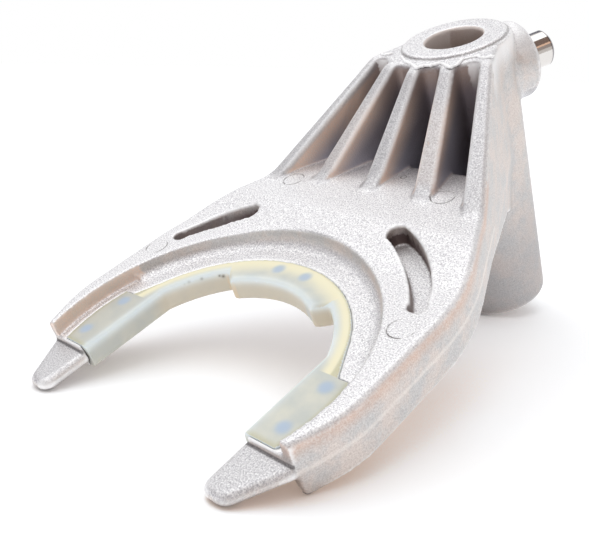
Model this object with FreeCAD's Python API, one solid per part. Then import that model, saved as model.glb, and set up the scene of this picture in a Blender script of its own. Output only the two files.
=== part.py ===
import FreeCAD, Part
import math
import os

from FreeCAD import Vector

# A gearbox shift fork: an aluminium casting, a nylon pad moulded round its mouth and a steel pin.
# Sizes are in mm. It is drawn with its rail bore upright on the z axis, the plate's top at z = 0
# and the two arms toward -y, and at the end it is turned to lie as it comes to rest.

# Rail barrel
BORE_RADIUS = 8.0
BORE_CHAMFER = 0.5
BARREL_RADIUS = 15.6
BARREL_BOTTOM = -60.8
BARREL_EDGE = 0.8
SHOULDER_TOP = 23.6
RING_RADIUS = 14.4
RING_TOP = 24.6
RING_EDGE = 0.35

# Web and arms, seen from above: half widths and stations along y
HUB_HALF_WIDTH = 15.3
HUB_BACK_Y = 3.0
FLANK_ROOT_Y = -2.2
FLANK_ROOT_RADIUS = 17.0
ARM_HALF_WIDTH = 47.1
WAIST_Y = -72.2
WAIST_RADIUS = 60.0
ARM_TURN_Y = -110.5
ARM_TURN_RADIUS = 30.0
ARM_END_Y = -122.0
ARM_END_INSET = 4.8
ARM_HEIGHT = 14.0
PARTING_Z = -7.0
LOWER_DRAFT = 7.0
EDGE_ROUND = 1.2
FLANK_EDGE = 0.9

# Underside of the web: where it begins to deepen, where (y, z) it turns down to the barrel, how
# deep it would be past the barrel's axis, and the radius of both turns
WEB_DEEP_START_Y = -44.5
WEB_DEEP_TURN = (-14.0, -20.6)
WEB_DEEP_END_Z = -32.0
WEB_DEEP_RADIUS = 14.0

# Top of the plate: level round the mouth, a low step up toward the hub, then falling a little
LEVEL_BACK_Y = -73.0
STEP_Z = 2.2
STEP_FRONT_Y = -58.0
STEP_BACK_Y = -42.4
STEP_FALL = 0.094
STEP_RADIUS = 20.0

# Sloping tops of the ribs, from the middle one outward: the way each falls, in degrees from the
# middle, and how far from the rail's axis it leaves the shoulder and meets the plate
RIB_TURN = (0.0, 11.0, 23.0)
RIB_SHOULDER = (19.8, 19.3, 19.3)
RIB_FOOT = (45.2, 48.5, 57.8)
RIBS_END_Y = -56.4
FOOT_FILLET = 12.0
SHOULDER_ROUND = 4.0

# Fan of ribs and the cored pockets between them
POCKET_LEVEL = 10.0
POCKET_FRONT_Y = -31.8
POCKET_CORNER = 1.6
POCKET_DRAFT = 2.0
CORE_FRONT_Y = -55.0
CENTRE_RIB_HALF_WIDTH = 2.35
INNER_RIB_LEAN = 0.273
INNER_RIB_NEAR_X = 1.95
INNER_RIB_FAR_X = 7.2
OUTER_RIB_LEAN = 0.413
OUTER_RIB_NEAR_X = 10.5
INNER_POCKET_BACK_Y = (-18.2, -17.2)
OUTER_POCKET_BACK_Y = (-16.2, -12.4)

# Mouth, centred on its own axis
MOUTH_Y = -108.8
RECESS_RADIUS = 41.9
RECESS_DEPTH = 3.9
RECESS_COVE = 3.4
COVE_END_Y = -96.6
TIP_HALF_GAP = 28.1
ARC_RADIUS = 30.4
CENTRE_PAD_RADIUS = 26.2
CENTRE_PAD_ANGLE = 32.0
CENTRE_PAD_FOOT_ANGLE = 35.0

# Nylon pad
PAD_WALL = 1.8
PAD_PROUD = 0.2
PAD_END_Y = -121.3
PAD_OUTER_RADIUS = 34.6
SEAT_OUTER_RADIUS = 39.2
SEAT_START_Y = -101.5
PAD_STRAIGHT_ANGLE = 62.0
PAD_EDGE = 1.0
ANCHOR_RADIUS = 2.0
ANCHORS = ((35.1, -104.7), (34.9, -116.7), (4.55, -77.8))

# Tongues at the arm ends; their top and underside are also the faces the pad grips
TONGUE_TOP = -5.4
TONGUE_BOTTOM = -8.6
TONGUE_BEVEL = 1.1
TONGUE_ROOT_Y = -121.5
TONGUE_SHOULDER_Y = -122.6
TONGUE_END_Y = -134.4
TONGUE_INNER_X = 28.6
TONGUE_OUTER_X = 42.6
TONGUE_NOSE_X = 35.4
TONGUE_CORNERS = (3.0, 3.2, 2.8)

# Crescent slots beside the mouth: upper end, middle and lower end of both long edges
SLOT_DEPTH = 3.2
SLOT_MIDDLE = ((32.4, -65.6), (29.3, -70.1))
SLOT_LOW_END = ((41.1, -78.2), (39.6, -82.0), (37.6, -79.6))
SLOT_RIGHT_UP_END = ((21.0, -58.0), (18.4, -59.3), (20.4, -63.4))
SLOT_LEFT_UP_END = ((27.2, -61.7), (24.9, -63.2), (25.8, -67.2))

# Side boss and its pin
BOSS_TURN = 25.5
BOSS_Z = 11.5
BOSS_RADIUS = 11.2
BOSS_LENGTH = 19.8
BOSS_EDGE = 1.2
PIN_RADIUS = 5.2
PIN_SEAT_RADIUS = 4.6
PIN_STAND_OFF = 0.5
PIN_END = 28.2
PIN_CHAMFER = 0.7
PIN_HOLE_START = 9.8
PIN_GAP = 0.2

# Room taken by cutting tools past the metal, and the distance that counts as touching
SPARE = 5.0
WIDE = 60.0
NEAR = 0.01

# Flat steps that make up a hollow quarter round
ROUND_STEPS = 4


def rounded_wire(corners, z):
    """A closed flat outline through corners (x, y, radius), each turned by its own radius."""
    turns = []
    for i, (x, y, radius) in enumerate(corners):
        here = Vector(x, y, z)
        last = corners[i - 1]
        following = corners[(i + 1) % len(corners)]
        back = (Vector(last[0], last[1], z) - here).normalize()
        ahead = (Vector(following[0], following[1], z) - here).normalize()
        half = back.getAngle(ahead) / 2
        reach = radius / math.tan(half)
        inward = (back + ahead).normalize()
        middle = here + inward * (radius / math.sin(half) - radius)
        turns.append((here + back * reach, middle, here + ahead * reach, radius))
    edges = []
    for i, (start, middle, stop, radius) in enumerate(turns):
        if radius > 0:
            edges.append(Part.Arc(start, middle, stop).toShape())
        following_start = turns[(i + 1) % len(turns)][0]
        edges.append(Part.makeLine(stop, following_start))
    return Part.Wire(edges)


def mirrored(corners):
    """The right half of an outline followed by its mirror image across x = 0."""
    return corners + [(-x, y, radius) for x, y, radius in reversed(corners)]


def prism(wire, height):
    return Part.Face(wire).extrude(Vector(0, 0, height))


def slab(x0, x1, y0, y1, z0, z1):
    return Part.makeBox(x1 - x0, y1 - y0, z1 - z0, Vector(x0, y0, z0))


def upright(radius, y, z0, z1):
    return Part.makeCylinder(radius, z1 - z0, Vector(0, y, z0))


def inset(height, draft):
    return height * math.tan(math.radians(draft))


def on_mouth(radius, angle):
    """The point at a radius from the mouth's axis, at an angle from its hub side."""
    turn = math.radians(angle)
    return radius * math.sin(turn), MOUTH_Y + radius * math.cos(turn)


def plan(end_y):
    """The outline of web and arms from above, its arms running on in line to end_y."""
    share = (end_y - ARM_TURN_Y) / (ARM_END_Y - ARM_TURN_Y)
    return rounded_wire(mirrored([
        (HUB_HALF_WIDTH, HUB_BACK_Y, 0),
        (HUB_HALF_WIDTH, FLANK_ROOT_Y, FLANK_ROOT_RADIUS),
        (ARM_HALF_WIDTH, WAIST_Y, WAIST_RADIUS),
        (ARM_HALF_WIDTH, ARM_TURN_Y, ARM_TURN_RADIUS),
        (ARM_HALF_WIDTH - share * ARM_END_INSET, end_y, 0),
    ]), PARTING_Z)


def hollow(radius):
    """Points (across, up) of a hollow quarter round, from the wall's top to the floor's far end."""
    turns = [math.pi / 2 * i / ROUND_STEPS for i in range(ROUND_STEPS + 1)]
    return [(radius - radius * math.cos(turn), radius - radius * math.sin(turn)) for turn in turns]


def turned(points, y):
    """A solid of revolution about the upright axis at y, from points (radius, z)."""
    outline = Part.makePolygon([Vector(r, y, z) for r, z in points + points[:1]])
    return Part.Face(outline).revolve(Vector(0, y, 0), Vector(0, 0, 1), 360)


def along_x(corners):
    """A block with one outline (y, z, radius) run across the whole width."""
    face = Part.Face(rounded_wire(corners, 0))
    face.Placement = FreeCAD.Placement(
        Vector(-WIDE, 0, 0),
        FreeCAD.Rotation(Vector(0, 1, 0), Vector(0, 0, 1), Vector(1, 0, 0), "XYZ"))
    return face.extrude(Vector(2 * WIDE, 0, 0))


def lower_web():
    """The web and arms below their parting, drafted, and deeper toward the barrel."""
    high = plan(ARM_END_Y)
    low = high.makeOffset2D(-inset(PARTING_Z - WEB_DEEP_END_Z, LOWER_DRAFT), 2)
    low.translate(Vector(0, 0, WEB_DEEP_END_Z - PARTING_Z))
    turn_y, turn_z = WEB_DEEP_TURN
    return Part.makeLoft([low, high], True, True).common(along_x([
        (SPARE, 0, 0),
        (ARM_END_Y - SPARE, 0, 0),
        (ARM_END_Y - SPARE, -ARM_HEIGHT, 0),
        (WEB_DEEP_START_Y, -ARM_HEIGHT, WEB_DEEP_RADIUS),
        (turn_y, turn_z, WEB_DEEP_RADIUS),
        (SPARE, WEB_DEEP_END_Z, 0),
    ]))


def plate_space(hub_side):
    """The space under the plate's top, whose outline starts with the corners at the hub side."""
    return along_x(hub_side + [
        (STEP_FRONT_Y, STEP_Z, STEP_RADIUS),
        (LEVEL_BACK_Y, 0, STEP_RADIUS),
        (ARM_END_Y - SPARE, 0, 0),
        (ARM_END_Y - SPARE, -ARM_HEIGHT - SPARE, 0),
        (SPARE, -ARM_HEIGHT - SPARE, 0),
    ])


def rib_space(turn, shoulder, foot):
    """The space under one rib's top: level at the hub, straight down the slope, level again."""
    space = along_x([
        (-foot - WIDE, STEP_Z, 0),
        (-foot, STEP_Z, FOOT_FILLET),
        (-shoulder, SHOULDER_TOP, SHOULDER_ROUND),
        (WIDE, SHOULDER_TOP, 0),
        (WIDE, -ARM_HEIGHT - SPARE, 0),
        (-foot - WIDE, -ARM_HEIGHT - SPARE, 0),
    ])
    space.rotate(Vector(0, 0, 0), Vector(0, 0, 1), turn)
    return space


def between(near, far):
    """The ground between two lines x = x0 - lean * y, from the hub to where the ribs run out."""
    def at(line, y):
        return line[0] - line[1] * y
    return prism(rounded_wire([
        (at(near, SPARE), SPARE, 0), (at(near, RIBS_END_Y), RIBS_END_Y, 0),
        (at(far, RIBS_END_Y), RIBS_END_Y, 0), (at(far, SPARE), SPARE, 0),
    ], -ARM_HEIGHT - SPARE), ARM_HEIGHT + SHOULDER_TOP + 2 * SPARE)


def web_top():
    """The space under the whole top surface: the plate's, and each rib's in its own sector."""
    inner = ((CENTRE_RIB_HALF_WIDTH + INNER_RIB_NEAR_X) / 2, INNER_RIB_LEAN / 2)
    outer = ((INNER_RIB_FAR_X + OUTER_RIB_NEAR_X) / 2, (INNER_RIB_LEAN + OUTER_RIB_LEAN) / 2)
    lines = [(-inner[0], -inner[1]), inner, outer, (WIDE, 0)]
    top = plate_space([(SPARE, STEP_Z, 0)])
    for i, shape in enumerate(zip(RIB_TURN, RIB_SHOULDER, RIB_FOOT)):
        rib = rib_space(*shape).common(between(lines[i], lines[i + 1]))
        top = top.fuse(rib)
        if i > 0:
            top = top.fuse(rib.mirror(Vector(0, 0, 0), Vector(1, 0, 0)))
    return top.removeSplitter()


def pocket(near_x, near_lean, far_x, far_lean, back_y, front_y, grow):
    """The drafted space between two ribs whose faces lean outward along x = x0 - lean * y."""
    near_back_y, far_back_y = back_y
    level = rounded_wire([
        (near_x - near_lean * near_back_y, near_back_y, POCKET_CORNER),
        (near_x - near_lean * front_y, front_y, POCKET_CORNER),
        (far_x - far_lean * front_y, front_y, POCKET_CORNER),
        (far_x - far_lean * far_back_y, far_back_y, POCKET_CORNER),
    ], POCKET_LEVEL)
    top = SHOULDER_TOP + SPARE
    low = level.makeOffset2D(grow - inset(POCKET_LEVEL - PARTING_Z, POCKET_DRAFT))
    low.translate(Vector(0, 0, PARTING_Z - POCKET_LEVEL))
    high = level.makeOffset2D(grow + inset(top - POCKET_LEVEL, POCKET_DRAFT))
    high.translate(Vector(0, 0, top - POCKET_LEVEL))
    return Part.makeLoft([low, high], True, True)


def pockets(front_y, grow):
    """All four spaces between the ribs, reaching as far forward as asked."""
    inner = pocket(CENTRE_RIB_HALF_WIDTH, 0, INNER_RIB_NEAR_X, INNER_RIB_LEAN,
                   INNER_POCKET_BACK_Y, front_y, grow)
    outer = pocket(INNER_RIB_FAR_X, INNER_RIB_LEAN, OUTER_RIB_NEAR_X, OUTER_RIB_LEAN,
                   OUTER_POCKET_BACK_Y, front_y, grow)
    both = [inner, outer]
    return both + [shape.mirror(Vector(0, 0, 0), Vector(1, 0, 0)) for shape in both]


def ledges():
    """The metal before the deep cores: the spaces' front parts filled up to the plate's top."""
    ground = plate_space([
        (SPARE, STEP_Z - (SPARE - STEP_BACK_Y) * STEP_FALL, 0),
        (STEP_BACK_Y, STEP_Z, STEP_RADIUS),
    ])
    low, high = PARTING_Z - SPARE, SHOULDER_TOP
    cores = along_x([
        (POCKET_FRONT_Y + inset(POCKET_LEVEL - low, POCKET_DRAFT), low, 0),
        (POCKET_FRONT_Y - inset(high - POCKET_LEVEL, POCKET_DRAFT), high, 0),
        (WIDE, high, 0),
        (WIDE, low, 0),
    ])
    return [fill.common(ground).cut(cores) for fill in pockets(CORE_FRONT_Y, EDGE_ROUND)]


def lies_on(shape, edge):
    """Whether an edge's middle lies on a solid's surface."""
    middle = edge.valueAt((edge.FirstParameter + edge.LastParameter) / 2)
    return shape.Shells[0].distToShape(Part.Vertex(middle))[0] < NEAR


def upper_web():
    """The fan of ribs and the arms above the parting, with the rims of the pockets rounded."""
    top = web_top()
    blank = prism(plan(ARM_END_Y - SPARE), SHOULDER_TOP + SPARE - PARTING_Z)
    body = blank.common(top)
    spaces = pockets(CORE_FRONT_Y, 0)
    for space in spaces:
        body = body.cut(space)
    rims = [edge for edge in body.Edges
            if edge.BoundBox.ZMax > -NEAR and lies_on(top, edge)
            and any(lies_on(space, edge) for space in spaces)]
    body = body.makeFillet(EDGE_ROUND, rims)
    flanks = [edge for edge in body.Edges
              if ARM_END_Y < edge.CenterOfMass.y < HUB_BACK_Y / 2 and edge.BoundBox.ZMax > -NEAR
              and lies_on(top, edge) and lies_on(blank, edge)]
    body = body.makeChamfer(FLANK_EDGE, flanks)
    body = body.common(slab(-WIDE, WIDE, ARM_END_Y, WIDE, -WIDE, WIDE))
    return body.fuse(ledges())


def recess(floor_z, open_z, coved):
    """The sunk floor round the mouth, with a hollow round foot to its wall behind the arms."""
    low, high = sorted((floor_z, open_z))
    plain = upright(RECESS_RADIUS, MOUTH_Y, low, high)
    if not coved:
        return plain
    foot = [(RECESS_RADIUS - across, low + up) for across, up in hollow(RECESS_COVE)]
    soft = turned(foot + [(0, low), (0, high), (RECESS_RADIUS, high)], MOUTH_Y)
    front = slab(-WIDE, WIDE, -3 * WIDE, COVE_END_Y, low, high)
    back = slab(-WIDE, WIDE, COVE_END_Y, WIDE, low, high)
    return plain.common(front).fuse(soft.common(back))


def mouth(wall, z0, z1):
    """The gap of the mouth, its outline moved outward by a wall thickness."""
    half_gap = TIP_HALF_GAP + wall
    below = slab(-half_gap, half_gap, 3 * ARM_END_Y, MOUTH_Y, z0, z1)
    round_part = upright(ARC_RADIUS + wall, MOUTH_Y, z0, z1)
    gap = round_part.fuse(below).common(slab(-half_gap, half_gap, 3 * ARM_END_Y, 0, z0, z1))
    narrowing = math.degrees(wall / ARC_RADIUS)
    foot_x, foot_y = on_mouth(ARC_RADIUS + wall, CENTRE_PAD_FOOT_ANGLE - narrowing)
    face_x, face_y = on_mouth(CENTRE_PAD_RADIUS + wall, CENTRE_PAD_ANGLE - narrowing)
    inner_x, inner_y = on_mouth(CENTRE_PAD_RADIUS / 2, CENTRE_PAD_ANGLE - narrowing)
    past_x, past_y = 2 * foot_x - face_x, 2 * foot_y - face_y
    wedge = rounded_wire(mirrored([
        (past_x, 0, 0),
        (past_x, past_y, 0),
        (face_x, face_y, 0),
        (inner_x, inner_y, 0),
    ]), z0)
    pad = prism(wedge, z1 - z0).cut(upright(CENTRE_PAD_RADIUS + wall, MOUTH_Y, z0, z1))
    return gap.cut(pad)


def pad_field(z0, z1):
    """The ground the pad covers from above: a ring, wider at both arm ends."""
    ring = upright(PAD_OUTER_RADIUS, MOUTH_Y, z0, z1)
    x, y = on_mouth(PAD_OUTER_RADIUS, PAD_STRAIGHT_ANGLE)
    end_x = x + (y - SEAT_START_Y) / math.tan(math.radians(PAD_STRAIGHT_ANGLE))
    straight = rounded_wire(mirrored([(x, y, 0), (end_x, SEAT_START_Y, 0)]), z0)
    ring = ring.fuse(prism(straight, z1 - z0))
    ring = ring.common(slab(-WIDE, WIDE, SEAT_START_Y, 0, z0, z1))
    seats = upright(SEAT_OUTER_RADIUS, MOUTH_Y, z0, z1)
    seats = seats.common(slab(-WIDE, WIDE, PAD_END_Y, SEAT_START_Y, z0, z1))
    return ring.fuse(seats)


def anchors(z0, z1):
    return [Part.makeCylinder(ANCHOR_RADIUS, z1 - z0, Vector(side * x, y, z0))
            for x, y in ANCHORS for side in (1, -1)]


def slot(upper_end, side):
    """One crescent slot, narrower toward its low end."""
    outer_top, tip_top, inner_top = upper_end
    outer_low, tip_low, inner_low = SLOT_LOW_END
    outer_middle, inner_middle = SLOT_MIDDLE

    def arc(*points):
        return Part.Arc(*[Vector(side * x, y, -SLOT_DEPTH) for x, y in points]).toShape()

    outline = Part.Wire([
        arc(outer_top, outer_middle, outer_low),
        arc(outer_low, tip_low, inner_low),
        arc(inner_low, inner_middle, inner_top),
        arc(inner_top, tip_top, outer_top),
    ])
    return prism(outline, SLOT_DEPTH + SPARE)


def tongue():
    """The right-hand tongue: straight inside, slanting outside, its edges bevelled both ways."""
    outer, nose, inner = TONGUE_CORNERS
    outline = rounded_wire([
        (TONGUE_INNER_X, TONGUE_ROOT_Y, 0),
        (TONGUE_OUTER_X, TONGUE_ROOT_Y, 0),
        (TONGUE_OUTER_X, TONGUE_SHOULDER_Y, outer),
        (TONGUE_NOSE_X, TONGUE_END_Y, nose),
        (TONGUE_INNER_X, TONGUE_END_Y, inner),
    ], TONGUE_BOTTOM)
    blank = prism(outline, TONGUE_TOP - TONGUE_BOTTOM)
    flat_edges = [edge for edge in blank.Edges
                  if edge.BoundBox.ZLength < NEAR and edge.BoundBox.YMin < TONGUE_ROOT_Y - NEAR]
    return blank.makeChamfer(TONGUE_BEVEL, flat_edges)


def barrel():
    """The rail barrel with its side boss and its raised end ring."""
    body = upright(BARREL_RADIUS, 0, BARREL_BOTTOM, SHOULDER_TOP)
    body = body.makeChamfer(BARREL_EDGE, [edge for edge in body.Edges
                                          if edge.BoundBox.ZMax < BARREL_BOTTOM + NEAR])
    body = body.fuse(boss())
    ring = upright(RING_RADIUS, 0, SHOULDER_TOP - SPARE, RING_TOP)
    ring = ring.makeChamfer(RING_EDGE, [edge for edge in ring.Edges
                                        if edge.BoundBox.ZMin > RING_TOP - NEAR])
    return body.fuse(ring)


def sideways(radius, start, end):
    """A cylinder on the side boss's axis, between two distances from the rail's axis."""
    turn = math.radians(BOSS_TURN)
    axis = Vector(math.sin(turn), math.cos(turn), 0)
    return Part.makeCylinder(radius, end - start, Vector(0, 0, BOSS_Z) + axis * start, axis)


def chamfered_end(body, size):
    """A sideways cylinder with its outer rim chamfered."""
    rim = max(body.Edges, key=lambda edge: math.hypot(edge.CenterOfMass.x, edge.CenterOfMass.y))
    return body.makeChamfer(size, [rim])


def boss():
    return chamfered_end(sideways(BOSS_RADIUS, 0, BOSS_LENGTH), BOSS_EDGE)


def follower_pin():
    """The ground pin: a thinner end pressed into the boss, its shoulder standing off the face."""
    free = chamfered_end(sideways(PIN_RADIUS, BOSS_LENGTH + PIN_STAND_OFF, PIN_END), PIN_CHAMFER)
    seat = sideways(PIN_SEAT_RADIUS, PIN_HOLE_START + PIN_GAP, BOSS_LENGTH + PIN_STAND_OFF)
    return free.fuse(seat)


def fork_casting():
    body = upper_web().fuse(lower_web())
    body = body.cut(recess(-RECESS_DEPTH, SPARE, True))
    body = body.cut(recess(RECESS_DEPTH - ARM_HEIGHT, -ARM_HEIGHT - SPARE, False))
    body = body.cut(mouth(PAD_WALL, -ARM_HEIGHT - SPARE, SPARE))
    body = body.cut(pad_field(TONGUE_TOP, SPARE))
    body = body.cut(pad_field(-ARM_HEIGHT - SPARE, TONGUE_BOTTOM))
    body = body.cut(anchors(-ARM_HEIGHT, 0))
    body = body.cut([slot(SLOT_RIGHT_UP_END, 1), slot(SLOT_LEFT_UP_END, -1)])
    right = tongue()
    body = body.fuse([right, right.mirror(Vector(0, 0, 0), Vector(1, 0, 0))])
    body = body.fuse(barrel())
    body = body.cut([bore(), sideways(PIN_SEAT_RADIUS, PIN_HOLE_START, BOSS_LENGTH + SPARE)])
    return body.removeSplitter()


def bore():
    hole = upright(BORE_RADIUS, 0, BARREL_BOTTOM - SPARE, RING_TOP + SPARE)
    wide = BORE_RADIUS + BORE_CHAMFER
    depth = BORE_CHAMFER + SPARE
    top = Part.makeCone(BORE_RADIUS, wide + SPARE, depth, Vector(0, 0, RING_TOP - BORE_CHAMFER))
    low = Part.makeCone(wide + SPARE, BORE_RADIUS, depth, Vector(0, 0, BARREL_BOTTOM - SPARE))
    return hole.fuse([top, low])


def wear_pad():
    top = PAD_PROUD - RECESS_DEPTH
    bottom = RECESS_DEPTH - ARM_HEIGHT - PAD_PROUD
    block = pad_field(bottom, top).cut(mouth(0, bottom, top))
    rims = [edge for edge in block.Edges if on_inner_rim(edge, bottom, top)]
    block = block.makeChamfer(PAD_EDGE, rims)
    held = pad_field(TONGUE_BOTTOM, TONGUE_TOP).cut(mouth(PAD_WALL, TONGUE_BOTTOM, TONGUE_TOP))
    block = block.cut(held)
    return block.fuse(anchors(TONGUE_BOTTOM, TONGUE_TOP)).removeSplitter()


def on_inner_rim(edge, bottom, top):
    """Whether an edge runs round the mouth at the pad's top or underside."""
    box = edge.BoundBox
    level = box.ZLength < NEAR and (abs(box.ZMax - top) < NEAR or abs(box.ZMin - bottom) < NEAR)
    middle = edge.valueAt((edge.FirstParameter + edge.LastParameter) / 2)
    reach = math.hypot(middle.x, middle.y - MOUTH_Y)
    return (level and abs(middle.x) < TIP_HALF_GAP + NEAR and reach < ARC_RADIUS + NEAR
            and middle.y > PAD_END_Y + NEAR)


def rest_tilt():
    """The angle at which the tongues' undersides and the barrel's lower end touch one floor."""
    run = abs(TONGUE_END_Y) - TONGUE_BEVEL - BARREL_RADIUS + BARREL_EDGE
    rise = TONGUE_BOTTOM - BARREL_BOTTOM
    return math.atan2(rise, run)


def laid_down(shapes):
    """All pieces turned together to lie on z = 0, their common box centred on x = y = 0."""
    for shape in shapes:
        shape.rotate(Vector(0, 0, 0), Vector(1, 0, 0), math.degrees(rest_tilt()))
    boxes = [shape.optimalBoundingBox(False) for shape in shapes]
    middle_x = (min(box.XMin for box in boxes) + max(box.XMax for box in boxes)) / 2
    middle_y = (min(box.YMin for box in boxes) + max(box.YMax for box in boxes)) / 2
    lowest = min(box.ZMin for box in boxes)
    for shape in shapes:
        shape.translate(Vector(-middle_x, -middle_y, -lowest))
    print("tilt", math.degrees(rest_tilt()), "moved", -middle_x, -middle_y, -lowest)
    return shapes


os.makedirs("parts", exist_ok=True)
NAMES = ("fork_casting", "wear_pad", "follower_pin")
for name, shape in zip(NAMES, laid_down([fork_casting(), wear_pad(), follower_pin()])):
    print(name, shape.ShapeType, len(shape.Solids), round(shape.Volume), shape.isValid(),
          shape.optimalBoundingBox(False))
    shape.exportStep("parts/" + name + ".step")
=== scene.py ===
import math

import bmesh
import bpy
import numpy as np
from mathutils import Matrix


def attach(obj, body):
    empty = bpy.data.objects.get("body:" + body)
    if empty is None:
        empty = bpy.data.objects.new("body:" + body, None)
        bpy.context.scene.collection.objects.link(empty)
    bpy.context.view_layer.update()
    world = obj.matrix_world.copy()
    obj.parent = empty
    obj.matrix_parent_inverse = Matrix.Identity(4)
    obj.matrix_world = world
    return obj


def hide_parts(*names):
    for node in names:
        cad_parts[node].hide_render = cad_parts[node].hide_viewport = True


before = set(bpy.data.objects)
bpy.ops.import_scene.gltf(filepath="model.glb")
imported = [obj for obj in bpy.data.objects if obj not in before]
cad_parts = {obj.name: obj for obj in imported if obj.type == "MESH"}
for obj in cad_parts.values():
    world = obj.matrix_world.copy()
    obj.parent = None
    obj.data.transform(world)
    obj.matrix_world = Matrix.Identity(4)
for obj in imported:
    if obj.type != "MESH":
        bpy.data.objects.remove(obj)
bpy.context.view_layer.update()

MM = 0.001

# The fork was drawn with its rail bore upright and then laid down: one turn about x and one move
TILT = math.radians(23.7737950)
MOVE = (0.0, 40.9556, 61.6470)

# The camera of the photograph, in mm in the upright drawing, with its focal length in picture dots
EYE = (130.11, -175.62, 95.29)
YAW, PITCH, ROLL = 0.91, 0.52, 0.30
FOCAL_DOTS = 790.34
PICTURE_DOTS = (589, 540)
OPTICAL_CENTRE = (295.96, 249.75)
SENSOR_MM = 36.0


def turn_down(vectors):
    """Directions of the upright drawing as they lie in the world: a turn about x by the tilt."""
    x, y, z = np.moveaxis(np.asarray(vectors, float), -1, 0)
    c, s = math.cos(TILT), math.sin(TILT)
    return np.stack([x, y * c - z * s, y * s + z * c], axis=-1)


def turn_up(vectors):
    """Directions in the world as they are in the upright drawing."""
    x, y, z = np.moveaxis(np.asarray(vectors, float), -1, 0)
    c, s = math.cos(TILT), math.sin(TILT)
    return np.stack([x, y * c + z * s, z * c - y * s], axis=-1)


def laid(points):
    """Points of the upright drawing, in mm, where they lie in the world, in metres."""
    return (turn_down(points) + np.array(MOVE)) * MM


def stood(points):
    """Points in the world, in metres, where they are in the upright drawing, in mm."""
    return turn_up(np.asarray(points, float) / MM - np.array(MOVE))


# All places on the fork are in mm in the upright drawing. The barrel, its ring and its boss:
BORE_RADIUS = 8.0
RING_RADIUS = 14.4
BOSS_START = 16.2
SHOULDER_TOP = 23.6

# The web and arms: half widths at stations along y, and heights of the plate's top at others
WEB_STATIONS = (-122, -110.5, -72.2, -2.2)
WEB_HALF_WIDTHS = (42.3, 47.1, 47.1, 15.3)
STEP_HEIGHT = 2.2
PLATE_STATIONS = (-73, -58, -42.4, 0)
PLATE_HEIGHTS = (0, STEP_HEIGHT, STEP_HEIGHT, -1.8)
PARTING_Z = -7.0
FLANKS_BACK_Y = -40
FLANKS_BOTTOM = -16
ARM_END_Y = -122

# The fan of ribs: where the tops begin, and where they end the more they lean from the middle
RIB_HEAD = 19.5
RIB_LEANS = (0, 11, 23)
RIB_FEET = (45.2, 48.5, 57.8)
RIBS_FRONT_Y = -58
POCKETS_FRONT_Y = -56
POCKETS_BACK_Y = -11
POCKET_FLOOR = -7.4

# The recess round the mouth, as radii from the mouth's axis, with the back end of the brown strip
# on its left wall, and the slots beside it
MOUTH_Y = -108.8
RECESS_WALL = 41.4
RECESS_LIP = 42.3
RECESS_FLOOR = -3.9
STRIP_BACK_Y = -95
SLOTS_START = 45

# The pad: its outline, its centre pad's half angle, its rivets and the specks of dirt on it
PAD_TOP = -3.7
PAD_RADIUS = 34.6
PAD_END_Y = -121.3
SEAT_RADIUS = 39.2
SEAT_START_Y = -101.5
HALF_GAP = 28.1
ARC_RADIUS = 30.4
CENTRE_PAD_RADIUS = 26.2
CENTRE_PAD_ANGLE = 33.5
RIVET_RADIUS = 1.75
RIVETS = ((35.1, -104.7), (34.9, -116.7), (4.55, -77.8))
DIRT_SPECKS = ((-18.6, -84.8, -5.0, 0.45), (-19.4, -85.3, -4.7, 0.3), (-22.7, -88.6, -4.3, 0.4),
               (-24.8, -91.2, -4.1, 0.4), (-25.4, -92.2, -4.2, 0.3))

# Round marks in the casting's top, whose dark outlines are painted shade, the painted shade line at
# # the tongues' foot as (y, z), and the side pin's direction and how far out along it the pin ends
EJECTOR_RADIUS = 3.0
EJECTOR_MARKS = ((41.3, -87.3), (-42.0, -86.8), (22.1, -44.1), (-25.3, -48.2))
DOT_RADIUS = 0.8
DOT_MARK = (5.4, -37.7)
TONGUE_ROOT = (-122.15, -5.3)
TONGUE_OUTER_X = 42.3
PIN_DIRECTION = (0.430511, 0.902585, 0.0)
PIN_END = 28.2


# The blasted grain and the clouds of the casting's skin, in mm. A real grain of a tenth of a
# millimetre is too fine for the picture, so it is drawn this coarse.
GRAIN = 0.36
CLOUD = 9


# Node and colour helpers

def hex_colour(text):
    """An sRGB colour such as "c8c4be" as the linear colour that a shader takes."""
    values = [int(text[i:i + 2], 16) / 255 for i in (0, 2, 4)]
    linear = [v / 12.92 if v <= 0.04045 else ((v + 0.055) / 1.055) ** 2.4 for v in values]
    return (*linear, 1.0)


def add(tree, kind, settings=None, links=None, output=0):
    """Adds a node with its settings, its inputs set or linked, and gives one of its outputs."""
    made = tree.nodes.new(kind)
    for name, value in (settings or {}).items():
        setattr(made, name, value)
    for key, value in (links or {}).items():
        if isinstance(value, bpy.types.NodeSocket):
            tree.links.new(value, made.inputs[key])
        else:
            made.inputs[key].default_value = value
    return made.outputs[output] if output is not None else None


def new_material(name):
    """An empty material and its node tree."""
    material = bpy.data.materials.new(name)
    material.use_nodes = True
    material.node_tree.nodes.clear()
    return material, material.node_tree


def drawing_place(tree):
    """The point being shaded, in mm in the upright drawing."""
    c, s = math.cos(TILT), math.sin(TILT)
    y, z = MOVE[1] * c + MOVE[2] * s, MOVE[2] * c - MOVE[1] * s
    place = add(tree, "ShaderNodeTexCoord", output=3)
    return add(tree, "ShaderNodeMapping", {}, {
        "Vector": place, "Location": (0, -y, -z), "Rotation": (-TILT, 0, 0),
        "Scale": (1 / MM, 1 / MM, 1 / MM)})


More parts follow.
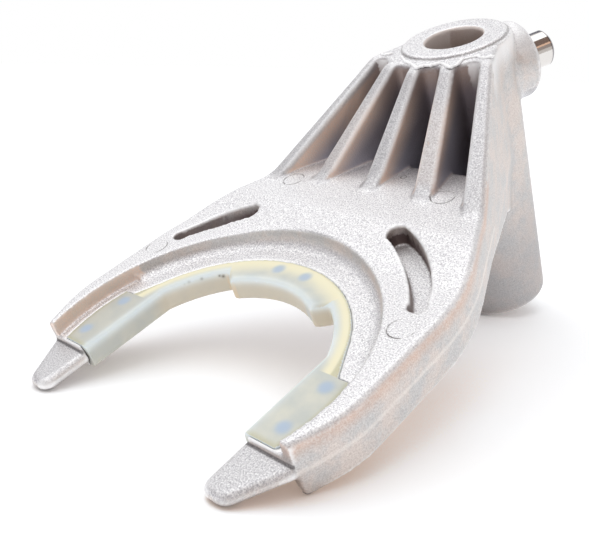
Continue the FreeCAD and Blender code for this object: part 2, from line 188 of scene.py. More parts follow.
def ring_line(tree, place, centre, radius, width):
    """How near a point is, seen from above, to a thin circle that wavers a little."""
    flat = add(tree, "ShaderNodeVectorMath", {"operation": "MULTIPLY"}, {0: place, 1: (1, 1, 0)})
    waver = add(tree, "ShaderNodeTexNoise", {}, {"Vector": place, "Scale": 0.9})
    away = add(tree, "ShaderNodeVectorMath", {"operation": "DISTANCE"}, {
        0: flat, 1: (*centre, 0)}, 1)
    away = add(tree, "ShaderNodeMath", {"operation": "MULTIPLY_ADD"}, {0: waver, 1: width, 2: away})
    away = add(tree, "ShaderNodeMath", {"operation": "SUBTRACT"}, {0: away, 1: radius + width / 2})
    away = add(tree, "ShaderNodeMath", {"operation": "ABSOLUTE"}, {0: away})
    return add(tree, "ShaderNodeMapRange", {"interpolation_type": "SMOOTHSTEP"}, {
        "Value": away, "From Min": width, "From Max": 0.2 * width})


def casting_marks(tree, place, height, upward):
    """The outlines of the ejector marks and of the end ring's foot in the casting's top, painted
    dark as the shade at their small steps.
    """
    marks = ring_line(tree, place, (0, 0), RING_RADIUS + 0.2, 0.4)
    level = add(tree, "ShaderNodeMapRange", {}, {
        "Value": height, "From Min": SHOULDER_TOP - 1, "From Max": SHOULDER_TOP - 0.5})
    marks = add(tree, "ShaderNodeMath", {"operation": "MULTIPLY"}, {0: marks, 1: level})
    marks = add(tree, "ShaderNodeMath", {"operation": "MULTIPLY"}, {0: marks, 1: 0.4})
    # A noise makes the painted outlines patchy
    patchy = add(tree, "ShaderNodeTexNoise", {}, {"Vector": place, "Scale": 0.35, "Detail": 1.0})
    patchy = add(tree, "ShaderNodeMapRange", {}, {
        "Value": patchy, "From Min": 0.42, "From Max": 0.58, "To Min": 0.08, "To Max": 0.9})
    rings = [(centre, EJECTOR_RADIUS) for centre in EJECTOR_MARKS] + [(DOT_MARK, DOT_RADIUS)]
    for centre, radius in rings:
        ring = ring_line(tree, place, centre, radius, 0.22)
        ring = add(tree, "ShaderNodeMath", {"operation": "MULTIPLY"}, {0: ring, 1: patchy})
        ring = add(tree, "ShaderNodeMath", {"operation": "MULTIPLY"}, {0: ring, 1: upward})
        marks = add(tree, "ShaderNodeMath", {"operation": "MAXIMUM"}, {0: marks, 1: ring})
    return marks


def tongue_root_shade(tree, place):
    """How near a point is to the painted shade line in the crease along the tongues' roots, which
    runs along x.
    """
    across = add(tree, "ShaderNodeVectorMath", {"operation": "MULTIPLY"}, {0: place, 1: (0, 1, 1)})
    away = add(tree, "ShaderNodeVectorMath", {"operation": "DISTANCE"}, {
        0: across, 1: (0, *TONGUE_ROOT)}, 1)
    line = add(tree, "ShaderNodeMapRange", {"interpolation_type": "SMOOTHSTEP"}, {
        "Value": away, "From Min": 0.62, "From Max": 0.22, "To Max": 0.72})
    x = add(tree, "ShaderNodeSeparateXYZ", {}, {"Vector": place}, 0)
    x = add(tree, "ShaderNodeMath", {"operation": "ABSOLUTE"}, {0: x})
    within = add(tree, "ShaderNodeMath", {"operation": "LESS_THAN"}, {0: x, 1: TONGUE_OUTER_X})
    return add(tree, "ShaderNodeMath", {"operation": "MULTIPLY"}, {0: line, 1: within})


def flank_tints(tree, height, below, flanks):
    """Shares of the orange bloom under the flanks' top edge and of the bright parting line."""
    bloom = add(tree, "ShaderNodeMapRange", {"interpolation_type": "SMOOTHSTEP"}, {
        "Value": below, "From Min": 0.5, "From Max": 0.12, "To Max": 0.42})
    bloom = add(tree, "ShaderNodeMath", {"operation": "MULTIPLY", "use_clamp": True}, {
        0: bloom, 1: flanks})
    parting = add(tree, "ShaderNodeMath", {"operation": "SUBTRACT"}, {0: height, 1: PARTING_Z})
    parting = add(tree, "ShaderNodeMath", {"operation": "ABSOLUTE"}, {0: parting})
    parting = add(tree, "ShaderNodeMapRange", {"interpolation_type": "SMOOTHSTEP"}, {
        "Value": parting, "From Min": 0.9, "From Max": 0.1, "To Max": 0.4})
    parting = add(tree, "ShaderNodeMath", {"operation": "MULTIPLY", "use_clamp": True}, {
        0: parting, 1: flanks})
    return bloom, parting


def pocket_tints(tree, below, inside):
    """Shares of the brown of the pockets' walls and of the painted shade of dark grey deeper down.
    """
    brown = add(tree, "ShaderNodeMapRange", {"interpolation_type": "SMOOTHSTEP"}, {
        "Value": below, "From Min": 0.05, "From Max": 0.2})
    brown = add(tree, "ShaderNodeMath", {"operation": "MULTIPLY"}, {0: brown, 1: inside})
    deep_shade = add(tree, "ShaderNodeMapRange", {"interpolation_type": "SMOOTHSTEP"}, {
        "Value": below, "From Min": 0.2, "From Max": 0.9})
    deep_shade = add(tree, "ShaderNodeMath", {"operation": "MULTIPLY"}, {0: deep_shade, 1: inside})
    return brown, deep_shade


def corner_tints(tree, inside, tight):
    """Shares of the painted warm shade in wide corners outside the pockets and of the painted dark
    shade in creases.
    """
    open_sky, open_crease = [
        add(tree, "ShaderNodeAmbientOcclusion", {"samples": 8}, {"Distance": span * MM}, output=1)
        for span in (22, 1.3)]
    shade = add(tree, "ShaderNodeMapRange", {"interpolation_type": "SMOOTHSTEP"}, {
        "Value": open_sky, "From Min": 0.55, "From Max": 0.1, "To Max": 0.5})
    outside = add(tree, "ShaderNodeMath", {"operation": "SUBTRACT"}, {0: 1.0, 1: inside})
    shade = add(tree, "ShaderNodeMath", {"operation": "MULTIPLY"}, {0: shade, 1: outside})
    crease_shade = add(tree, "ShaderNodeMapRange", {"interpolation_type": "SMOOTHSTEP"}, {
        "Value": open_crease, "From Min": 0.75, "From Max": 0.35, "To Max": 0.75})
    crease_shade = add(tree, "ShaderNodeMath", {"operation": "MULTIPLY"}, {0: crease_shade, 1: tight})
    return shade, crease_shade


def bore_tint(tree, place):
    """Share of the bore's duller wall: all that lies nearer the rail's axis than its rim."""
    flat = add(tree, "ShaderNodeVectorMath", {"operation": "MULTIPLY"}, {0: place, 1: (1, 1, 0)})
    away = add(tree, "ShaderNodeVectorMath", {"operation": "LENGTH"}, {0: flat}, 1)
    return add(tree, "ShaderNodeMapRange", {}, {
        "Value": away, "From Min": BORE_RADIUS + 0.5, "From Max": BORE_RADIUS + 0.3,
        "To Max": 0.8})


def blasted_aluminium():
    """Die-cast aluminium, blasted: tops with a fine grain of bright and matt grains, smoother
    sides with faint warm and cool clouds in a tone a little darker than the tops', which is partly
    painted shade, and brownish walls in the pockets that painted shade makes darker further down,
    with a painted highlight on its edges. Its tints lie over each other in the order of the list
    below."""
    material, tree = new_material("blasted_aluminium")
    place = drawing_place(tree)
    side, edge, below, inside, recess, flanks, slots, dim_shade, tight = [
        add(tree, "ShaderNodeAttribute", {"attribute_name": name}, output=2)
        for name in ("side", "edge", "below", "inside", "recess", "flanks", "slots", "dim_shade",
                     "tight")]
    height = add(tree, "ShaderNodeSeparateXYZ", {}, {"Vector": place}, 2)

    grains = add(tree, "ShaderNodeTexNoise", {}, {
        "Vector": place, "Scale": 1 / GRAIN, "Detail": 2.0, "Roughness": 0.75})
    grains = add(tree, "ShaderNodeMapRange", {}, {
        "Value": grains, "From Min": 0.34, "From Max": 0.66})
    clouds = add(tree, "ShaderNodeTexNoise", {}, {
        "Vector": place, "Scale": 1 / CLOUD, "Detail": 6.0, "Roughness": 0.68})
    clouds = add(tree, "ShaderNodeMapRange", {"interpolation_type": "SMOOTHSTEP"}, {
        "Value": clouds, "From Min": 0.38, "From Max": 0.62})

    top = add(tree, "ShaderNodeMix", {"data_type": "RGBA"}, {
        0: grains, 6: hex_colour("bab8bd"), 7: hex_colour("ffffff")}, 2)
    # The sides' cloudy tone is a little darker and warmer than the tops': this is partly painted
    # shade.
    flank = add(tree, "ShaderNodeMix", {"data_type": "RGBA"}, {
        0: clouds, 6: hex_colour("c8c6c4"), 7: hex_colour("dccfc6")}, 2)
    flank = add(tree, "ShaderNodeMix", {"data_type": "RGBA"}, {0: 0.3, 6: flank, 7: top}, 2)
    colour = add(tree, "ShaderNodeMix", {"data_type": "RGBA"}, {
        0: side, 6: top, 7: flank}, 2)

    bloom, parting = flank_tints(tree, height, below, flanks)
    brown, deep_shade = pocket_tints(tree, below, inside)
    shade, crease_shade = corner_tints(tree, inside, tight)
    upward = add(tree, "ShaderNodeMath", {"operation": "GREATER_THAN"}, {0: height, 1: -1.0})
    marks = casting_marks(tree, place, height, upward)
    specks = add(tree, "ShaderNodeMapRange", {}, {
        "Value": grains, "From Min": 0.2, "From Max": 0.9, "To Min": 1.0, "To Max": 0.55})
    brown, bloom, recess = [
        add(tree, "ShaderNodeMath", {"operation": "MULTIPLY"}, {0: share, 1: specks})
        for share in (brown, bloom, recess)]

    # Painted shade among these tints: the dimmed slopes, the pockets' dark depths, the slots' walls
    # and the pockets' upper ends, the warm corners, the creases, the tongue roots' line and the
    # marks' dark outlines; the light edges are a painted highlight
    for share, tone in ((dim_shade, "8f8d90"), (bloom, "dcab8c"), (parting, "f6f1ec"),
                        (brown, "f4dac8"), (deep_shade, "b4b2bc"), (recess, "ffeadb"),
                        (slots, "76686a"), (shade, "8d7d75"), (edge, "fbfafa"),
                        (crease_shade, "4a4444"), (tongue_root_shade(tree, place), "4a4444"),
                        (bore_tint(tree, place), "e0d4ce"), (marks, "6a6664")):
        colour = add(tree, "ShaderNodeMix", {"data_type": "RGBA"}, {
            0: share, 6: colour, 7: hex_colour(tone)}, 2)

    rough = add(tree, "ShaderNodeMapRange", {}, {"Value": grains, "To Min": 0.6, "To Max": 0.42})
    metal = add(tree, "ShaderNodeMapRange", {}, {"Value": inside, "To Min": 1.0, "To Max": 0.72})
    metal = add(tree, "ShaderNodeMath", {"operation": "MULTIPLY_ADD", "use_clamp": True}, {
        0: edge, 1: -0.5, 2: metal})
    groove = add(tree, "ShaderNodeMath", {"operation": "MULTIPLY_ADD"}, {
        0: marks, 1: -3.0, 2: grains})
    bump = add(tree, "ShaderNodeBump", {}, {
        "Height": groove, "Distance": 0.04 * MM, "Strength": 0.9})
    shader = add(tree, "ShaderNodeBsdfPrincipled", {}, {
        "Base Color": colour, "Metallic": metal, "Roughness": rough, "Normal": bump})
    add(tree, "ShaderNodeOutputMaterial", {}, {"Surface": shader}, None)
    return material


def natural_nylon():
    """Natural nylon, moulded: milky and a little see-through, yellower toward its outer edge,
    with a pale bluish painted highlight along its inner top edge, bluish spots over its rivets, a
    warmer wall with painted shade lower down and a little on the far left of its top, and a few
    brown specks of dirt."""
    material, tree = new_material("natural_nylon")
    place = drawing_place(tree)
    rim, seam, rivets, inner_edge_highlight, warm, low, specks = [
        add(tree, "ShaderNodeAttribute", {"attribute_name": name}, output=2)
        for name in ("rim", "seam", "rivets", "inner_edge_highlight", "warm", "low", "specks")]
    clouds = add(tree, "ShaderNodeTexNoise", {}, {
        "Vector": place, "Scale": 1 / 5, "Detail": 3.0})
    clouds = add(tree, "ShaderNodeMapRange", {}, {
        "Value": clouds, "From Min": 0.35, "From Max": 0.65})
    colour = add(tree, "ShaderNodeMix", {"data_type": "RGBA"}, {
        0: clouds, 6: hex_colour("c4c6bf"), 7: hex_colour("d3d1c4")}, 2)
    for share, tone in ((low, "a9a49c"), (warm, "d8c8ae"), (rim, "eee6c6"), (seam, "b9b596"),
                        (inner_edge_highlight, "e3ebee"), (rivets, "a9bbd0"), (specks, "5f5038")):
        colour = add(tree, "ShaderNodeMix", {"data_type": "RGBA"}, {
            0: share, 6: colour, 7: hex_colour(tone)}, 2)
    shader = add(tree, "ShaderNodeBsdfPrincipled", {}, {
        "Base Color": colour, "Roughness": 0.3, "IOR": 1.53, "Subsurface Weight": 0.35,
        "Subsurface Radius": (1.0, 0.9, 0.7), "Subsurface Scale": 1.2 * MM})
    add(tree, "ShaderNodeOutputMaterial", {}, {"Surface": shader}, None)
    return material


def polished_steel():
    """Hardened steel, ground and polished: sharp bands of light and dark, and a thin dark ring
    painted near its end where the edge is broken, standing in for the dark reflection there."""
    material, tree = new_material("polished_steel")
    place = drawing_place(tree)
    along = add(tree, "ShaderNodeVectorMath", {"operation": "DOT_PRODUCT"}, {
        0: place, 1: PIN_DIRECTION}, 1)
    # A painted dark ring near the end, standing in for the dark reflection in its broken edge
    rim = add(tree, "ShaderNodeMapRange", {"interpolation_type": "SMOOTHSTEP"}, {
        "Value": along, "From Min": PIN_END - 1.15, "From Max": PIN_END - 0.85})
    colour = add(tree, "ShaderNodeMix", {"data_type": "RGBA"}, {
        0: rim, 6: hex_colour("dcd8d4"), 7: hex_colour("8b8688")}, 2)
    shader = add(tree, "ShaderNodeBsdfPrincipled", {}, {
        "Base Color": colour, "Metallic": 1.0, "Roughness": 0.12})
    add(tree, "ShaderNodeOutputMaterial", {}, {"Surface": shader}, None)
    return material


def white_floor():
    """White paper under the fork, with a painted warm shade where it is occluded on the side pin's
    side, standing in for light bounced off the metal, and a little painted glow of its own that
    lifts its shade."""
    material, tree = new_material("white_paper")
    open_sky = add(tree, "ShaderNodeAmbientOcclusion", {"samples": 8}, {"Distance": 70 * MM},
                   output=1)
    # Painted warm shade where the floor is occluded, mostly beside the pin's side
    shade = add(tree, "ShaderNodeMapRange", {}, {
        "Value": open_sky, "From Min": 0.62, "From Max": 0.32})
    place = add(tree, "ShaderNodeTexCoord", output=3)
    beside = add(tree, "ShaderNodeSeparateXYZ", {}, {"Vector": place}, 0)
    beside = add(tree, "ShaderNodeMapRange", {"interpolation_type": "SMOOTHSTEP"}, {
        "Value": beside, "From Min": 12 * MM, "From Max": 38 * MM, "To Min": 0.2})
    shade = add(tree, "ShaderNodeMath", {"operation": "MULTIPLY"}, {0: shade, 1: beside})
    colour = add(tree, "ShaderNodeMix", {"data_type": "RGBA"}, {
        0: shade, 6: hex_colour("fffefe"), 7: hex_colour("f0d4c0")}, 2)
    paper = add(tree, "ShaderNodeBsdfDiffuse", {}, {"Color": colour})
    # A painted glow that lifts the floor's shade
    glow = add(tree, "ShaderNodeEmission", {}, {"Color": (1, 1, 1, 1), "Strength": 0.1})
    shader = add(tree, "ShaderNodeAddShader", {}, {0: paper, 1: glow})
    add(tree, "ShaderNodeOutputMaterial", {}, {"Surface": shader}, None)
    return material


# Pieces

def joined(mesh):
    """The same mesh with its loose triangles joined at their corners, its own normals left out."""
    shape = bmesh.new()
    shape.from_mesh(mesh)
    bmesh.ops.remove_doubles(shape, verts=shape.verts, dist=0.002 * MM)
    shape.to_mesh(mesh)
    shape.free()
    if "custom_normal" in mesh.attributes:
        mesh.attributes.remove(mesh.attributes["custom_normal"])
    mesh.shade_smooth()
    return mesh


def piece_for(node, name, material, grid=None, rounds=0, keep=1.0):
    """A copy of a CAD node, standing for that node. With a grid it is sampled anew on cubes of
    that size, and each point then moves half way to the mean of its neighbours, some rounds
    over, which gives every edge and inner corner the small radius of a casting."""
    piece = bpy.data.objects.new(name, joined(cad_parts[node].data.copy()))
    bpy.context.scene.collection.objects.link(piece)
    if grid:
        remesh = piece.modifiers.new("grid", "REMESH")
        remesh.mode = "VOXEL"
        remesh.voxel_size = grid
        remesh.use_smooth_shade = True
        smooth = piece.modifiers.new("rounding", "SMOOTH")
        smooth.factor = 0.5
        smooth.iterations = rounds
        if keep < 1:
            thinner = piece.modifiers.new("thinner", "DECIMATE")
            thinner.ratio = keep
        shown = piece.evaluated_get(bpy.context.evaluated_depsgraph_get())
        piece.data = bpy.data.meshes.new_from_object(shown)
        piece.modifiers.clear()
    else:
        piece.data.set_sharp_from_angle(angle=math.radians(30))
    piece.data.materials.clear()
    piece.data.materials.append(material)
    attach(piece, "root")
    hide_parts(node)
    return piece


def mesh_arrays(mesh):
    """A mesh's points in mm and its normals, both as they lie in the upright drawing."""
    count = len(mesh.vertices)
    points, normals = np.empty(count * 3, np.float32), np.empty(count * 3, np.float32)
    mesh.vertices.foreach_get("co", points)
    mesh.vertex_normals.foreach_get("vector", normals)
    return stood(points.reshape(-1, 3)), turn_up(normals.reshape(-1, 3))


def edge_curvature(mesh, points, normals, rounds=2):
    """How strongly the surface bends outward at each point, in 1/mm: the mean over its edges of
    the normals' change along the edge divided by the edge's length, evened a little."""
    ends = np.empty(len(mesh.edges) * 2, np.int32)
    mesh.edges.foreach_get("vertices", ends)
    a, b = ends.reshape(-1, 2).T
    count = np.bincount(a, minlength=len(points)) + np.bincount(b, minlength=len(points))

    def mean(at_a, at_b):
        total = np.bincount(a, at_a, len(points)) + np.bincount(b, at_b, len(points))
        return total / np.maximum(count, 1)

    step = points[b] - points[a]
    bend = np.einsum("ij,ij->i", normals[b] - normals[a], step)
    bend /= np.maximum(np.einsum("ij,ij->i", step, step), 1e-6)
    out = mean(bend, bend)
    for _ in range(rounds):
        out = mean(out[b], out[a])
    return out


def store(mesh, name, values):
    """Keeps one value for each point of a mesh, for its material to read."""
    layer = mesh.attributes.new(name, "FLOAT", "POINT")
    layer.data.foreach_set("value", np.clip(values, 0, 1).astype(np.float32))


def smooth_step(value, low, high):
    """A step from 0 to 1 between two values, level at both ends: t squared times (3 - 2t)."""
    share = np.clip((value - low) / (high - low), 0, 1)
    return share * share * (3 - 2 * share)


def top_height(x, y):
    """The height of the casting's top: level arms, a low step, then the fan of ribs, whose tops
    fall from the shoulder to a foot that lies further out the more they lean."""
    plate = np.interp(y, PLATE_STATIONS, PLATE_HEIGHTS)
    lean = np.degrees(np.arctan2(np.abs(x), np.maximum(-y, 0.1)))
    foot = np.interp(lean, RIB_LEANS, RIB_FEET)
    share = np.clip((np.hypot(x, y) - RIB_HEAD) / (foot - RIB_HEAD), 0, 1)
    ribs = SHOULDER_TOP - share * (SHOULDER_TOP - STEP_HEIGHT)
    return np.where(y > RIBS_FRONT_Y, np.maximum(plate, ribs), plate)


def paint_casting(mesh):
    """Keeps where the casting faces sideways, a painted highlight on its edges, the shoulder's rim
    and the boss's top, how far a point lies below the top, in tens of mm, and which faces are the
    pockets', the recess's or the flanks' walls, with painted shade on the slots' walls and the
    pockets' upper ends; then painted shade on the rib slopes, the tongues and the lower barrel, and
    how much painted shade in creases each place takes, little at the pad's border."""
    points, normals = mesh_arrays(mesh)
    x, y, z = points.T
    upward = normals[:, 2]
    out = np.hypot(x, y)
    reach = np.hypot(x, y - MOUTH_Y)
    inset = np.interp(y, WEB_STATIONS, WEB_HALF_WIDTHS) - np.abs(x)
    steep = smooth_step(np.abs(upward), 0.9, 0.5)
    side = smooth_step(np.abs(upward), 0.75, 0.35)
    arms = y < POCKETS_FRONT_Y

    inside = (inset > 2.2) & (y > POCKETS_FRONT_Y) & (y < POCKETS_BACK_Y) & (z > POCKET_FLOOR)
    # Painted shade at the pockets' upper ends, near the hub
    pocket_end_shade = inside * steep * smooth_step(out, 32, 21) * 0.7
    slots = arms & (inset > 4) & (z < -0.3) & (reach > SLOTS_START)
    flanks = (inset < np.where(arms, 3.5, 2.4)) & (y > ARM_END_Y)
    flanks = flanks & (y < FLANKS_BACK_Y) & (z > FLANKS_BOTTOM)
    left_wall = (np.abs(reach - RECESS_WALL) < 1.4) & (y < STRIP_BACK_Y) & (x < 0)
    left_wall = left_wall & (z > RECESS_FLOOR) & (z < -0.2)

    # Painted shade: the rib slopes, the tongues and the lower barrel are dimmed toward a darker
    # grey
    slopes = smooth_step(upward, 0.998, 0.95) * (z > 0.8)
    slopes = slopes * smooth_step(out, 15.5, 18.5) * (side < 0.5)
    tongues = (y < ARM_END_Y - 0.4) * smooth_step(upward, 0.7, 0.95) * 0.28
    barrel = smooth_step(z, -8, -50) * (out < 18) * (side > 0.5) * 0.45

    bore_left = x < -5.5
    # Painted highlight on the hub's shoulder rim, the boss's top and the outward edges, less on the
    # recess's lip
    shoulder = smooth_step(z, 15, 22) * (y > -14) * side * 0.7 * ((out > 10) | bore_left)
    boss_top_highlight = (y > 8) * (out > BOSS_START) * smooth_step(upward, 0.15, 0.6) * 0.5
    recess_lip = np.where(np.abs(reach - RECESS_LIP) < 1.8, 0.2, 1)
    edges = smooth_step(edge_curvature(mesh, points, normals), 0.12, 0.6) * 0.85
    pad_border = (np.abs(reach - PAD_RADIUS) < 1.6) & (y > -102)

    store(mesh, "side", side)
    store(mesh, "edge", np.maximum(edges * recess_lip, np.maximum(shoulder, boss_top_highlight)))
    store(mesh, "below", np.maximum(top_height(x, y) - z, 0) / 10)
    store(mesh, "inside", inside * np.maximum(steep, z < -2))
    store(mesh, "recess", left_wall * steep * 0.85)
    store(mesh, "flanks", flanks * side)
    # Painted shade on the slots' walls and at the pockets' upper ends, both kept in the slots
    # attribute
    store(mesh, "slots", slots * steep * (0.55 + 0.4 * smooth_step(y, -67, -62)) + pocket_end_shade)
    # Painted shade on the slopes, the tongues and the lower barrel
    store(mesh, "dim_shade", slopes * 0.38 + tongues + barrel)
    store(mesh, "tight", np.where(pad_border, 0.15, 1))


def paint_pad(mesh):
    """Keeps the pad's cream outer rim, the thin seam at its border, the bluish spots over its
    rivets, a painted highlight along its inner top edge, the warmer parts of its wall, painted
    shade on the lower parts of its wall and the far left of its top, and the small brown specks of
    dirt on it, each fading as a bell curve round its place."""
    points, normals = mesh_arrays(mesh)
    x, y, z = points.T
    reach = np.hypot(x, y - MOUTH_Y)
    turn = np.degrees(np.arctan2(np.abs(x), y - MOUTH_Y))
    depth = PAD_TOP - z
    back = y > SEAT_START_Y
    on_centre_pad = turn < CENTRE_PAD_ANGLE
    from_arc = reach - np.where(on_centre_pad, CENTRE_PAD_RADIUS, ARC_RADIUS)
    from_side = np.abs(x) - HALF_GAP
    inner = np.where(y > MOUTH_Y, np.maximum(from_arc, from_side), from_side)
    outer = np.where(back, PAD_RADIUS - reach, np.minimum(SEAT_RADIUS - reach, y - PAD_END_Y))
    top = smooth_step(np.abs(normals[:, 2]), 0.5, 0.85) * (depth < 1)
    wall = 1 - top
    from_edge = np.where(top > 0.5, np.maximum(inner, 0), np.maximum(depth, 0))

    cream = smooth_step(outer, np.where(on_centre_pad, 6.5, 3.8), 1.2) * back
    rivets = sum(np.exp(-((np.hypot(np.abs(x) - px, y - py) / RIVET_RADIUS) ** 4))
                 for px, py in RIVETS)
    dirt = sum(np.exp(-(((points - speck[:3]) ** 2).sum(axis=1) / speck[3] ** 2))
               for speck in DIRT_SPECKS)
    far_left = top * smooth_step(x, -24, -29) * 0.3
    steps = wall * (np.abs(turn - 33) < 3.5) * 0.6

    store(mesh, "rim", cream * np.maximum(top, 0.6))
    store(mesh, "seam", smooth_step(outer, np.where(back, 0.7, 1.6), 0.1) * top * 0.7)
    store(mesh, "rivets", rivets * top * 0.85)
    store(mesh, "specks", dirt * 0.9)
    # Painted highlight along the inner top edge
    store(mesh, "inner_edge_highlight", np.exp(-(from_edge / 1.5) ** 2) * 0.85)
    # Painted shade on the wall's lower part and on the far left of the top
    store(mesh, "low", wall * smooth_step(depth, 0.6, 2.4) * 0.25 + far_left)
    store(mesh, "warm", wall * smooth_step(y, -103, -97) * 0.5 * (x < 10) + steps)


# The flash beads: points round each ring, then in mm how far apart the rings are and how far the
# bead stands off the shoulder
BEAD_SIDES = 10
BEAD_STEP = 0.2
BEAD_LIFT = 0.08


def bead(name, route, material):
    """A thin ragged bead along a route on the hub's shoulder: each ring of points is a circle
    square to the smoothed route, whose radius and height waver by a sum of three sines."""
    route = np.array(route, float)
    steps = np.concatenate([[0], np.cumsum(np.hypot(*np.diff(route, axis=0).T))])
    along = np.linspace(0, steps[-1], int(steps[-1] / BEAD_STEP))
    x, y = [np.interp(along, steps, route[:, i]) for i in (0, 1)]
    for _ in range(3):
        x[1:-1], y[1:-1] = [(v[:-2] + 2 * v[1:-1] + v[2:]) / 4 for v in (x, y)]
    waver = sum(np.sin(along * rate + 1.7 * rate) for rate in (1.1, 2.9, 5.3)) / 3
    radius = (0.45 + 0.2 * waver) * np.sqrt(np.clip(np.minimum(along, steps[-1] - along), 0.05, 1))
    dx, dy = np.gradient(x), np.gradient(y)
    out = np.stack([-dy, dx], axis=-1) / np.hypot(dx, dy)[:, None]
    turn = np.linspace(0, 2 * np.pi, BEAD_SIDES, endpoint=False)
    across = (radius[:, None] * np.cos(turn))[:, :, None] * out[:, None, :]
    lift = SHOULDER_TOP + BEAD_LIFT + radius[:, None] * np.sin(turn)
    rings = np.concatenate([np.stack([x, y], axis=-1)[:, None, :] + across, lift[:, :, None]],
                           axis=-1)
    count, points = len(along), laid(rings.reshape(-1, 3))
    ring, corner = np.arange(count - 1)[:, None] * BEAD_SIDES, np.arange(BEAD_SIDES)
    first = (ring + corner).ravel()
    after = (ring + (corner + 1) % BEAD_SIDES).ravel()
    faces = np.stack([first, first + BEAD_SIDES, after + BEAD_SIDES, after], axis=-1).tolist()
    last = count * BEAD_SIDES - 1
    faces += [list(range(BEAD_SIDES)), list(range(last, last - BEAD_SIDES, -1))]
    mesh = bpy.data.meshes.new(name)
    mesh.from_pydata(points.tolist(), [], faces)
    mesh.shade_smooth()
    mesh.materials.append(material)
    # The whole bead takes the casting's painted highlight
    store(mesh, "edge", np.full(len(points), 1))
    piece = bpy.data.objects.new(name, mesh)
    bpy.context.scene.collection.objects.link(piece)
    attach(piece, "root")


# The flash's routes over the hub's shoulder, in mm in the upright drawing, seen from above
FLASH_ROUTES = {
    "shoulder_flash": ((-9.0, -12.3), (-5.5, -15.4), (-2.4, -16.8), (1.1, -19.2), (2.3, -17.6),
                       (4.5, -17.1), (6.2, -15.5), (10.7, -18.0), (11.7, -16.3), (11.1, -12.9),
                       (12.5, -11.6), (14.3, -10.4)),
    "right_lip": ((13.9, -9.6), (14.8, -11.0), (16.3, -11.5), (17.8, -11.0), (18.7, -9.6)),
    "left_lip": ((-18.0, -10.0), (-16.6, -11.4), (-14.8, -11.3), (-13.4, -10.4)),
}


casting = piece_for("fork_casting", "casting", blasted_aluminium(),
                    grid=0.45 * MM, rounds=5, keep=0.37)
paint_casting(casting.data)
pad = piece_for("wear_pad", "pad", natural_nylon(),
                grid=0.32 * MM, rounds=4)
paint_pad(pad.data)
pin = piece_for("follower_pin", "pin", polished_steel())
for name, route in FLASH_ROUTES.items():
    bead(name, route, casting.data.materials[0])


# Floor, light and camera

def flat_piece(name, corners, material):
    """A sheet with four corners that isn't part of the fork."""
    mesh = bpy.data.meshes.new(name)
    mesh.from_pydata([tuple(corner) for corner in corners], [], [(0, 1, 2, 3)])
    mesh.materials.append(material)
    sheet = bpy.data.objects.new(name, mesh)
    bpy.context.scene.collection.objects.link(sheet)
    return sheet


def glow_card(name, corners, tone):
    """A plain card of one tone that only reflections show."""
    material, tree = new_material(name)
    shader = add(tree, "ShaderNodeEmission", {}, {"Color": hex_colour(tone)})
    add(tree, "ShaderNodeOutputMaterial", {}, {"Surface": shader}, None)
    card = flat_piece(name, corners, material)
    card.visible_camera = False
    card.visible_shadow = False
    card.visible_diffuse = False


def dim_card(name, azimuth, reach, width, low, high, tone):
    """A dim upright card beside the fork, at an azimuth turned from -y toward +x, that only
    reflections show: the darker parts of the room."""
    out = np.array([math.sin(azimuth), -math.cos(azimuth), 0])
    across = np.array([math.cos(azimuth), math.sin(azimuth), 0]) * width / 2
    foot, head = out * reach + (0, 0, low), out * reach + (0, 0, high)
    glow_card(name, [foot - across, foot + across, head + across, head - across], tone)


def over_pin(name, span, tone):
    """A level card a metre up, over a span of x, that only reflections show: the side pin's
    bands come from it."""
    near, far = span
    glow_card(name, [(near, -0.4, 1), (far, -0.4, 1), (far, 0.6, 1), (near, 0.6, 1)], tone)


# The upright cards: name, azimuth in degrees, distance, width, lower and upper edge in metres,
# and tone
DIM_CARDS = (
    ("wall_behind_camera", 36, 1.2, 2.2, 0.0, 0.75, "6b4f40"),
    ("wall_to_the_left", -48, 1.2, 1.7, 0.0, 0.9, "c9c5c6"),
    ("low_screen", 97, 1.5, 0.9, 0.0, 0.42, "dcd8d6"),
    ("grey_screen", 97, 1.5, 0.9, 0.42, 0.95, "a89d98"),
    ("screen_behind", -144, 1.5, 0.16, 0.6, 1.9, "80808a"),
)


# Half the floor's width in metres, the faintly cool light of the room, and the lamp's strength
FLOOR_HALF = 3.0
ROOM_LIGHT = (0.84, 0.86, 0.88, 1)
LAMP_STRENGTH = 0.24 * math.pi


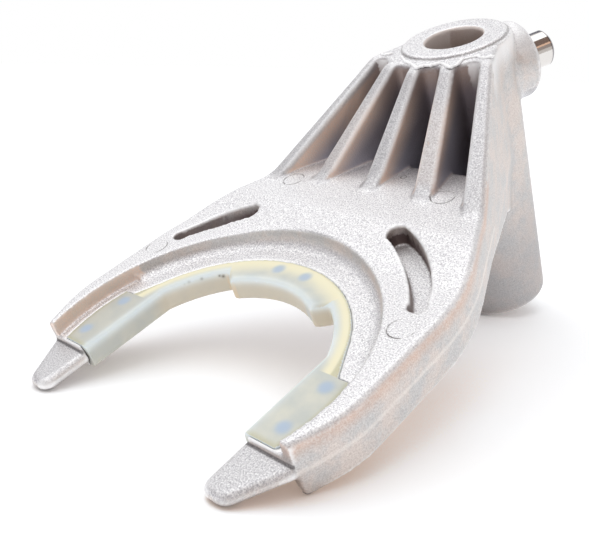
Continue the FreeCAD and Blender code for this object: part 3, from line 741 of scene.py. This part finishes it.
def floor_and_light():
    """A white floor, an even white surround and one wide soft lamp overhead."""
    corners = [(x * FLOOR_HALF, y * FLOOR_HALF, 0) for x, y in ((-1, -1), (1, -1), (1, 1), (-1, 1))]
    flat_piece("floor", corners, white_floor())
    for name, azimuth, reach, width, low, high, tone in DIM_CARDS:
        dim_card(name, math.radians(azimuth), reach, width, low, high, tone)
    over_pin("brown_ceiling", (0.32, 1.15), "86736a")
    over_pin("orange_ceiling", (1.15, 1.6), "fbd3b8")

    world = bpy.data.worlds.new("white_room")
    bpy.context.scene.world = world
    world.use_nodes = True
    tree = world.node_tree
    tree.nodes.clear()
    path = add(tree, "ShaderNodeLightPath").node
    seen = add(tree, "ShaderNodeMath", {"operation": "MAXIMUM"}, {
        0: path.outputs["Is Camera Ray"], 1: path.outputs["Is Glossy Ray"]})
    seen = add(tree, "ShaderNodeMath", {"operation": "MAXIMUM"}, {
        0: seen, 1: path.outputs["Is Transmission Ray"]})
    colour = add(tree, "ShaderNodeMix", {"data_type": "RGBA"}, {
        0: seen, 6: ROOM_LIGHT, 7: (1, 1, 1, 1)}, 2)
    background = add(tree, "ShaderNodeBackground", {}, {"Color": colour})
    add(tree, "ShaderNodeOutputWorld", {}, {"Surface": background}, None)

    lamp = bpy.data.lights.new("softbox", "SUN")
    lamp.angle = math.radians(70)
    lamp.energy = LAMP_STRENGTH
    softbox = bpy.data.objects.new("softbox", lamp)
    softbox.rotation_euler = (math.radians(10), math.radians(-10), 0)
    bpy.context.scene.collection.objects.link(softbox)


def camera():
    """The camera at the photograph's place, turned by its yaw, pitch and roll."""
    view = np.array([-math.sin(YAW) * math.cos(PITCH), math.cos(YAW) * math.cos(PITCH),
                     -math.sin(PITCH)])
    level = np.array([math.cos(YAW), math.sin(YAW), 0.0])
    down = np.cross(view, level)
    right = math.cos(ROLL) * level + math.sin(ROLL) * down
    up = math.sin(ROLL) * level - math.cos(ROLL) * down
    columns = np.vstack([turn_down([right, up, -view]), laid(EYE)]).T
    place = Matrix(columns.tolist() + [[0, 0, 0, 1]])
    data = bpy.data.cameras.new("camera")
    data.sensor_width = SENSOR_MM
    data.sensor_fit = "HORIZONTAL"
    data.lens = FOCAL_DOTS / PICTURE_DOTS[0] * SENSOR_MM
    data.shift_x = (PICTURE_DOTS[0] / 2 - OPTICAL_CENTRE[0]) / PICTURE_DOTS[0]
    data.shift_y = (OPTICAL_CENTRE[1] - PICTURE_DOTS[1] / 2) / PICTURE_DOTS[0]
    data.clip_start, data.clip_end = 0.01, 20.0
    viewer = bpy.data.objects.new("camera", data)
    viewer.matrix_world = place
    bpy.context.scene.collection.objects.link(viewer)
    bpy.context.scene.camera = viewer


floor_and_light()
camera()
bpy.context.scene.view_settings.view_transform = "Standard"
